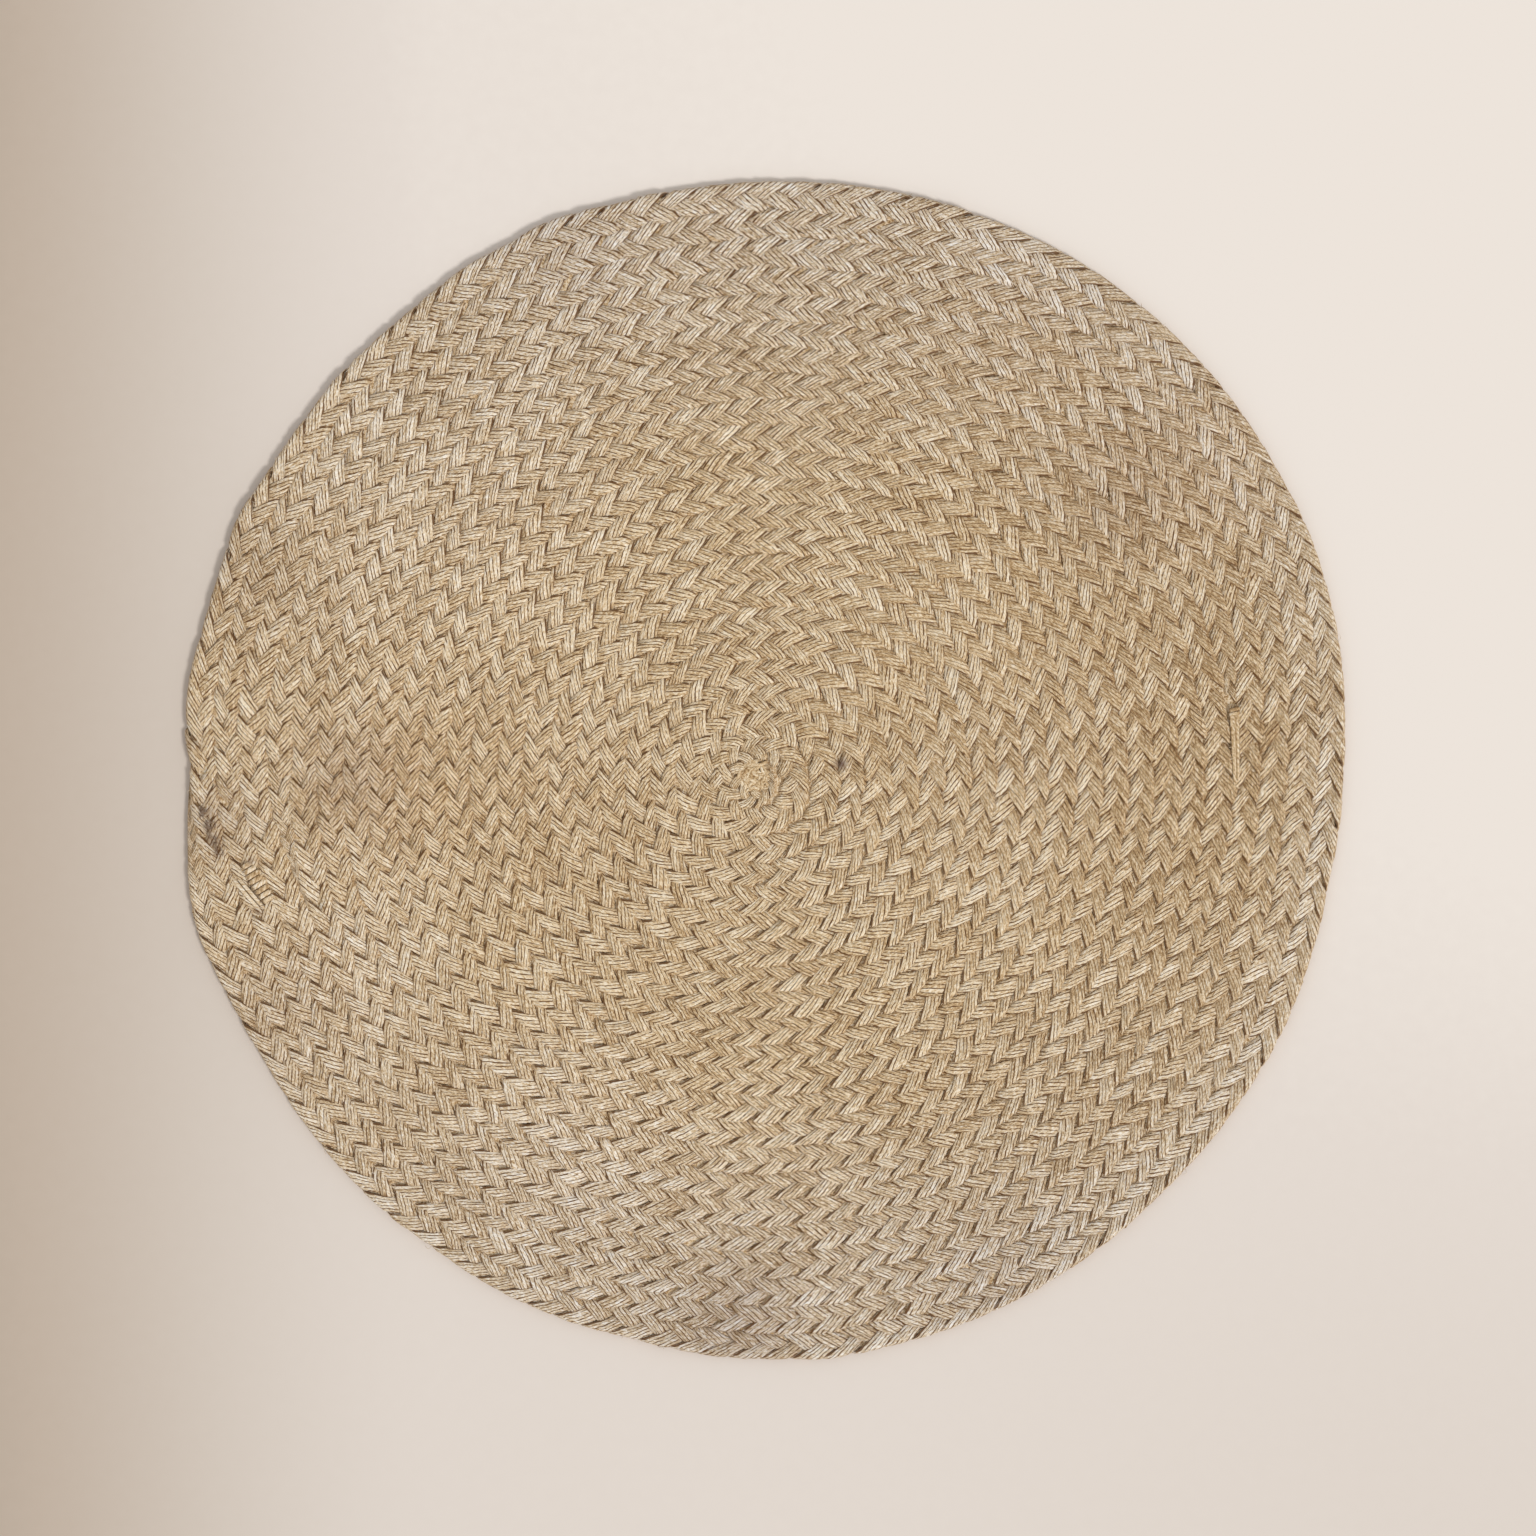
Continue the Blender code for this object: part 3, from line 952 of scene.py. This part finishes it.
def grid_object(name, points, in_order, looks, material):
    """An object of many separate grids of points (grids, rows, columns, 3)."""
    count, rows, columns = points.shape[:3]
    faces = grid_faces(count, rows, columns, in_order)
    points = points.reshape(-1, 3)
    mesh = bpy.data.meshes.new(name)
    mesh.vertices.add(len(points))
    mesh.vertices.foreach_set("co", (points * MM).astype(np.float32).ravel())
    mesh.loops.add(faces.size)
    mesh.loops.foreach_set("vertex_index", faces.astype(np.int32).ravel())
    mesh.polygons.add(len(faces))
    mesh.polygons.foreach_set("loop_start", np.arange(0, faces.size, 4, dtype=np.int32))
    mesh.polygons.foreach_set("use_smooth", np.ones(len(faces), bool))
    for key, values in looks.items():
        made = mesh.attributes.new(key, "FLOAT", "POINT")
        made.data.foreach_set("value", np.asarray(values, np.float32).ravel())
    places = atlas(count, rows, columns)[faces.ravel()]
    layer = mesh.uv_layers.new(name="OFBake")
    layer.uv.foreach_set("vector", places.astype(np.float32).ravel())
    mesh.update()
    mesh.validate()
    mesh.materials.append(material)
    return add_object(name, mesh)


def linear(rgb):
    """Linear colour of an sRGB one given from 0 to 255."""
    share = np.array(rgb) / 255
    low = share / 12.92
    high = ((share + 0.055) / 1.055) ** 2.4
    return (*np.where(share <= 0.04045, low, high).tolist(), 1.0)


class Nodes:
    """Short ways to add and join shader nodes."""

    def __init__(self, name):
        self.material = bpy.data.materials.new(name)
        self.material.use_nodes = True
        self.tree = self.material.node_tree
        self.shader = self.tree.nodes["Principled BSDF"]

    def add(self, kind, inputs=None, **settings):
        node = self.tree.nodes.new(kind)
        for key, value in settings.items():
            setattr(node, key, value)
        for key, value in (inputs or {}).items():
            if isinstance(value, bpy.types.NodeSocket):
                self.tree.links.new(value, node.inputs[key])
            else:
                node.inputs[key].default_value = value
        return node

    def attribute(self, name):
        return self.add("ShaderNodeAttribute", attribute_name=name).outputs["Fac"]

    def noise(self, vector, scale, detail, rough):
        inputs = {"Vector": vector, "Scale": scale, "Detail": detail, "Roughness": rough}
        return self.add("ShaderNodeTexNoise", inputs).outputs["Fac"]

    def vector(self, x, y, z):
        return self.add("ShaderNodeCombineXYZ", {0: x, 1: y, 2: z}).outputs[0]

    def steps(self, value, low, high):
        """0 up to low and 1 from high on."""
        inputs = {0: value, 1: low, 2: high}
        node = self.add("ShaderNodeMapRange", inputs, interpolation_type="SMOOTHSTEP")
        return node.outputs[0]

    def math(self, operation, *values):
        inputs = dict(enumerate(values))
        return self.add("ShaderNodeMath", inputs, operation=operation).outputs[0]

    def swing(self, noise, amount):
        """Noise from 0 to 1, made to run from -amount / 2 to amount / 2."""
        return self.math("MULTIPLY_ADD", noise, amount, -amount / 2)

    def invert(self, value):
        return self.math("SUBTRACT", 1.0, value)

    def ramp(self, factor, stops):
        node = self.add("ShaderNodeValToRGB", {"Fac": factor})
        elements = node.color_ramp.elements
        while len(elements) < len(stops):
            elements.new(0.5)
        for element, (at, colour) in zip(elements, stops):
            element.position = at
            element.color = linear(colour)
        return node.outputs["Color"]

    def mix(self, factor, a, b, blend="MIX"):
        inputs = {0: factor, 6: a, 7: b}
        node = self.add("ShaderNodeMix", inputs, data_type="RGBA", blend_type=blend)
        return node.outputs[2]

    def tint(self, factor, colour, tint):
        """The colour multiplied by a tint where the factor is 1."""
        return self.mix(factor, colour, (*tint, 1.0), "MULTIPLY")

    def finish(self, colour, roughness, specular):
        self.tree.links.new(colour, self.shader.inputs["Base Color"])
        self.shader.inputs["Roughness"].default_value = roughness
        self.shader.inputs["Specular IOR Level"].default_value = specular
        return self.material


def fibre_streaks(made, along, across, lobe):
    """Fibres that run along the yarns and twist round them."""
    twist = made.math("MULTIPLY_ADD", along, FIBRE_TWIST, across)
    fine_across = made.math("MULTIPLY", twist, FIBRE_FINE)
    spot = made.vector(made.math("MULTIPLY", along, STREAK_ALONG), fine_across, lobe)
    return made.noise(spot, *STREAK_NOISE)


def yarn_lines(made, along, across, yarn, lobe):
    """Thin lines between the yarns, uneven and broken in places: painted shade in the colour and
    grooves in the bump.
    """
    aside = made.math("ABSOLUTE", made.math("SUBTRACT", across, yarn))
    spot = made.vector(made.math("MULTIPLY", along, UNEVEN_ALONG), across, lobe)
    uneven = made.swing(made.noise(spot, *UNEVEN_NOISE), LINE_UNEVEN)
    line = made.steps(made.math("ADD", aside, uneven), *LINE_EDGE)
    groove = made.math("ROUND", made.math("ADD", across, 0.5))
    elsewhere = made.math("ADD", lobe, 4.4)
    spot = made.vector(made.math("MULTIPLY", along, THREAD_ALONG), groove, elsewhere)
    breaks = made.steps(made.noise(spot, *THREAD_NOISE), *LINE_BREAKS)
    return made.math("MULTIPLY", line, breaks)


def lobe_gap_shade(made, along, lobe):
    """Painted shade in the gaps along the lobes' side edges and under the yarns, deeper in some
    places.
    """
    gap_shade = made.steps(made.attribute("outline_shade"), *GAP_EDGE)
    spot = made.vector(made.math("MULTIPLY", along, DEEP_ALONG), lobe, 2.0)
    return made.math("MULTIPLY", gap_shade, made.steps(made.noise(spot, *DEEP_NOISE), *GAP_BREAKS))


def jute_material(name, with_attributes=True):
    made = Nodes(name)
    spot = made.add("ShaderNodeTexCoord").outputs["Object"]
    patches = made.noise(spot, *PATCH_NOISE)
    fine = made.noise(spot, *FINE_NOISE)
    if with_attributes:
        across, lobe, along = (made.attribute(key) for key in ("across", "lobe", "along"))
        streak = fibre_streaks(made, along, across, lobe)
        yarn = made.math("ROUND", across)
        spot = made.vector(made.math("MULTIPLY", along, YARN_ALONG), yarn, lobe)
        yarn_tone = made.noise(spot, *YARN_NOISE)
        line = yarn_lines(made, along, across, yarn, lobe)
        gap_shade = lobe_gap_shade(made, along, lobe)
        look = {key: made.attribute(key) for key in LOOKS}
    else:
        streak, yarn_tone, line, gap_shade = fine, 0.5, 0.0, 0.0
        look = GROUND_LOOKS
    # The ramp's place: random tone, painted facing light, streaks, yarn tone, grain, patches and
    # warmth
    value = made.math("MULTIPLY_ADD", look["tone"], TONE_AMOUNT, RAMP_MIDDLE)
    for part in (
        made.math("MULTIPLY", look["painted_facing_light"], FACING_LIGHT_AMOUNT),
        made.swing(streak, STREAK_AMOUNT),
        made.swing(yarn_tone, YARN_AMOUNT),
        made.swing(fine, FINE_AMOUNT),
        made.swing(patches, PATCH_AMOUNT),
        made.math("MULTIPLY", look["warmth"], WARM_AMOUNT),
    ):
        value = made.math("ADD", value, part)
    colour = made.ramp(value, JUTE_RAMP)
    colour = made.tint(look["grey"], colour, GREY_TINT)
    colour = made.tint(look["worn"], colour, WORN_TINT)
    colour = made.tint(look["rich"], colour, RICH_TINT)
    colour = made.tint(look["shaded"], colour, SHADED_TINT)
    colour = made.mix(look["stain"], colour, linear(STAIN_COLOUR))
    # painted shade in crevices, darker and browner
    crevice_shade = made.math("MULTIPLY", look["crevice_shade"], CREVICE_SHADE_STRENGTH)
    colour = made.tint(crevice_shade, colour, CREVICE_SHADE_TINT)
    # yarn lines are fainter on lobes painted darker for facing right
    not_faint = made.steps(look["painted_facing_light"], *FAINT_BELOW)
    bold = made.math("MULTIPLY_ADD", not_faint, 1 - FAINT_LINES, FAINT_LINES)
    # painted shade in the grooves between yarns and the gaps between lobes
    gap_shade = made.math("MULTIPLY", gap_shade, GAP_SHADE_STRENGTH)
    shade = made.math("MAXIMUM", made.math("MULTIPLY", line, bold), gap_shade)
    colour = made.mix(shade, colour, linear(GAP_SHADE_COLOUR))
    height = made.math("MULTIPLY_ADD", streak, BUMP_STREAK, made.math("MULTIPLY", line, BUMP_LINE))
    height = made.math("MULTIPLY_ADD", fine, BUMP_FINE, height)
    bump = {"Strength": BUMP_STRENGTH, "Distance": BUMP_DISTANCE, "Height": height}
    normal = made.add("ShaderNodeBump", bump).outputs["Normal"]
    made.tree.links.new(normal, made.shader.inputs["Normal"])
    return made.finish(colour, JUTE_ROUGHNESS, JUTE_SPECULAR)


def ground_sheet(material):
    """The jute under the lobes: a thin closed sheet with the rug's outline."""
    angle = np.arange(GROUND_SLOTS) * 360 / GROUND_SLOTS
    edge = round_curve(EDGE_COLUMN, angle) - GROUND_INSET
    radius = np.linspace(0, 1, GROUND_RINGS + 1)[1:, None] * edge[None, :]
    angle = np.radians(angle)
    plan = np.stack((radius * np.cos(angle), radius * np.sin(angle)), axis=-1).reshape(-1, 2)
    count = len(plan)
    low, high = GROUND_HEIGHTS
    top = np.column_stack((plan, np.full(count, high)))
    bottom = np.column_stack((plan, np.full(count, low)))
    points = np.concatenate((top, bottom, ((0, 0, high), (0, 0, low))))
    index = np.arange(count).reshape(GROUND_RINGS, GROUND_SLOTS)
    after = np.roll(index, -1, axis=1)
    quads = np.stack((index[:-1], index[1:], after[1:], after[:-1]), axis=-1).reshape(-1, 4)
    under = quads[:, ::-1] + count
    rim = np.stack((index[-1], index[-1] + count, after[-1] + count, after[-1]), axis=-1)
    middle = np.full(GROUND_SLOTS, 2 * count)
    fan_top = np.stack((middle, index[0], after[0]), axis=-1)
    fan_low = np.stack((middle + 1, after[0] + count, index[0] + count), axis=-1)
    faces = [face for part in (quads, under, rim, fan_top, fan_low) for face in part.tolist()]
    mesh = bpy.data.meshes.new("ground")
    mesh.from_pydata((points * MM).tolist(), [], faces)
    mesh.validate()
    mesh.materials.append(material)
    return add_object("ground", mesh)


def floor_material():
    """A pale floor with painted light: brighter towards the right and top, with a painted shadow
    band along its left and painted shade to the lower right.
    """
    made = Nodes("floor_painted_light")
    spot = made.add("ShaderNodeTexCoord").outputs["Object"]
    parts = made.add("ShaderNodeSeparateXYZ", {0: spot})
    grain = made.noise(spot, *FLOOR_NOISE)
    x, y = parts.outputs[0], parts.outputs[1]
    to_right = made.steps(x, *FLOOR_SPAN)
    to_top = made.steps(y, *FLOOR_SPAN)
    far_left = made.invert(made.steps(x, *LEFT_SHADOW_BAND_FADE))
    off_shadow_band = made.math("MAXIMUM", made.steps(x, *LEFT_SHADOW_BAND), far_left)
    in_shadow_band = made.math("MULTIPLY", made.invert(off_shadow_band), SHADOW_BAND_MIDDLE_LIFT)
    half_way_up = made.math("MULTIPLY", to_top, made.invert(to_top))
    in_shadow_band = made.math("MULTIPLY", half_way_up, in_shadow_band)
    to_top = made.math("MULTIPLY", to_top, off_shadow_band)
    lit = made.math("MULTIPLY_ADD", to_top, LIGHT_TO_TOP, in_shadow_band)
    lit = made.math("ADD", lit, made.math("MULTIPLY_ADD", to_right, LIGHT_TO_RIGHT, FLOOR_DARKEST))
    low = made.invert(made.steps(y, *LOW_RIGHT_Y))
    low_right_shade = made.math("MULTIPLY", made.steps(x, *LOW_RIGHT_X), low)
    lit = made.math("MULTIPLY_ADD", low_right_shade, LOW_RIGHT_SHADE, lit)
    lit = made.math("MULTIPLY_ADD", off_shadow_band, SHADOW_BAND_DEPTH, lit)
    lit = made.math("ADD", lit, made.math("MULTIPLY", grain, GRAIN_AMOUNT))
    return made.finish(made.ramp(lit, FLOOR_RAMP), FLOOR_ROUGHNESS, FLOOR_SPECULAR)


def floor_object():
    half = FLOOR_HALF
    mesh = bpy.data.meshes.new("floor")
    corners = [(-half, -half, 0), (half, -half, 0), (half, half, 0), (-half, half, 0)]
    mesh.from_pydata(corners, [], [(0, 1, 2, 3)])
    mesh.materials.append(floor_material())
    return add_object("floor", mesh)


def key_light():
    light = bpy.data.lights.new("key", "SUN")
    light.energy = KEY_STRENGTH
    light.angle = math.radians(KEY_SOFTNESS_DEG)
    light.color = (1.0, 1.0, 1.0)
    lamp = add_object("key", light)
    lamp.location = KEY_PLACE
    lamp.rotation_mode = "QUATERNION"
    lamp.rotation_quaternion = (-Vector(KEY_PLACE)).to_track_quat("-Z", "Y")


def camera():
    """The photo's view: from straight above, a little off the rug's middle."""
    data = bpy.data.cameras.new("camera")
    data.sensor_width = SENSOR
    data.lens = SENSOR * CAMERA_DISTANCE / VIEW_WIDE
    data.clip_end = 100.0
    made = add_object("camera", data)
    made.location = CAMERA_PLACE
    bpy.context.scene.camera = made


def world():
    made = bpy.data.worlds.new("studio")
    made.use_nodes = True
    background = made.node_tree.nodes["Background"]
    background.inputs["Color"].default_value = (1.0, 1.0, 1.0, 1.0)
    background.inputs["Strength"].default_value = WORLD_STRENGTH
    bpy.context.scene.world = made


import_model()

first = first_length()
outer = outer_length(first)
rim_phase = np.interp(OUTER_END_STEP - STEPS, outer.steps, outer.phase)
strip_phase = np.interp(FIRST_END_STEP - STRIP_STEPS, first.steps, first.phase)
jute = jute_material("jute_braid")
strands = []
for number in range(3):
    strand = Strand(first, number, 100 + number, math.inf, strip_phase)
    strands.append(grid_object(f"first_strand_{number + 1}", *strand.build(), jute))
for number in range(3):
    strand = Strand(outer, number, 200 + number, rim_phase, outer.phase[-1])
    strands.append(grid_object(f"outer_strand_{number + 1}", *strand.build(), jute))
loose = []
for name, made in (
    ("centre_knot", centre_knot()),
    ("first_tail_strip", first_tail_strip()),
    ("first_tail_stitches", first_tail_stitches()),
    ("wrapped_end", wrapped_end()),
    ("straight_band", straight_band()),
    ("dark_stitches", dark_stitches()),
    ("thread_loops", thread_loops()),
    ("loose_fibres", loose_fibres()),
):
    loose.append(grid_object(name, *made, jute))

ground = ground_sheet(jute_material("jute_ground", False))
ground.location = (-MIDDLE[0] * MM, -MIDDLE[1] * MM, 0)
floor = floor_object()
for piece in (ground, *strands, *loose):
    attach(piece, "root")
    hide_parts("braided_coil")
camera()
world()
key_light()
bpy.context.scene.view_settings.view_transform = "Standard"
